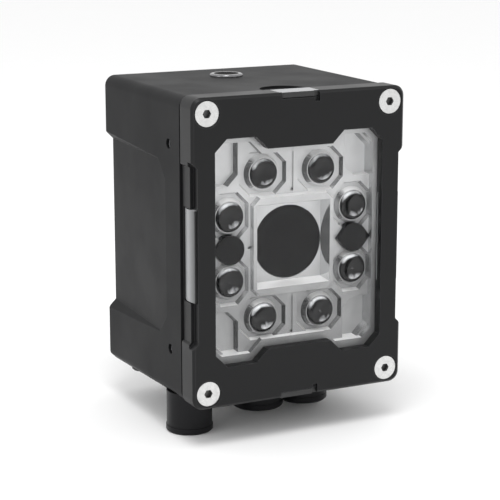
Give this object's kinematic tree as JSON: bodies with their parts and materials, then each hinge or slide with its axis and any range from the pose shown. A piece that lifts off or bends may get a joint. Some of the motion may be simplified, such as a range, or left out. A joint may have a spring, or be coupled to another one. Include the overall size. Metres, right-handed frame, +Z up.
{
  "type": "fixed-mount code reader",
  "caption": "Boxy fixed-mount code reader with a lamp-ringed camera window, light bars in its edges, a push button on top and round connectors below.",
  "frame": {"origin": "middle of the mounting face at the back, centre of its four tapped holes", "axes": "+Y straight out of the back, +Z up through the push button's face, +X to the right seen from the front"},
  "size_m": [0.0746, 0.07, 0.1116],
  "materials": {
    "housing": "fine matt black coating on cast aluminium",
    "cover": "smooth black coating",
    "seal_rubber": "matt",
    "window_clear": "clear",
    "reflector": "satin silver",
    "board": "solder mask",
    "dark_window": "gloss",
    "diffuser": "milky",
    "barrel": "matt",
    "lens_glass": "clear",
    "sensor": "gloss",
    "brass_posts": "turned",
    "chip": "matt",
    "bezel_metal": "polished",
    "button_cap": "matt",
    "spring_steel": "bright",
    "connector_metal": "satin black plating",
    "insert": "matt",
    "contacts": "gold plated",
    "lamp_lens": "dark gloss lens",
    "lamp_chip": "matt",
    "screw_steel": "satin"
  },
  "bodies": {
    "root": {"main_housing": "housing", "front_cover": "cover", "housing_gasket": "seal_rubber", "window_seal": "seal_rubber", "front_window": "window_clear", "reflector_plate": "reflector", "led_board": "board", "aimer_window_left": "dark_window", "aimer_window_right": "dark_window", "light_bar_left": "diffuser", "light_bar_right": "diffuser", "light_bar_top": "diffuser", "light_bar_bottom": "diffuser", "port_window": "dark_window", "lens_barrel": "barrel", "front_lens": "lens_glass", "rear_lens": "lens_glass", "image_sensor": "sensor", "camera_board": "board", "board_posts": "brass_posts", "main_board": "board", "processor_chip": "chip", "button_bezel": "bezel_metal", "button_spring": "spring_steel", "button_switch": "chip", "switch_board": "board", "vent_plug": "insert", "power_shell": "connector_metal", "power_insert": "insert", "power_pins": "contacts", "network_shell": "connector_metal", "network_insert": "insert", "light_shell": "connector_metal", "light_insert": "insert", "lamp_lens_1": "lamp_lens", "lamp_lens_2": "lamp_lens", "lamp_lens_3": "lamp_lens", "lamp_lens_4": "lamp_lens", "lamp_lens_5": "lamp_lens", "lamp_lens_6": "lamp_lens", "lamp_lens_7": "lamp_lens", "lamp_lens_8": "lamp_lens", "lamp_1": "lamp_chip", "lamp_2": "lamp_chip", "lamp_3": "lamp_chip", "lamp_4": "lamp_chip", "lamp_5": "lamp_chip", "lamp_6": "lamp_chip", "lamp_7": "lamp_chip", "lamp_8": "lamp_chip", "front_screw_1": "screw_steel", "front_screw_2": "screw_steel", "front_screw_3": "screw_steel", "front_screw_4": "screw_steel"},
    "button": {"push_button": "button_cap", "button_clip": "spring_steel"}
  },
  "joints": [
    {"name": "button_press", "type": "slide", "parent": "root", "child": "button", "axis": [0, 0, -1], "range_m": [0, 0.0008], "stiffness_N_per_m": 800, "springref_m": -0.001, "deforming": ["button_spring"]}
  ]
}
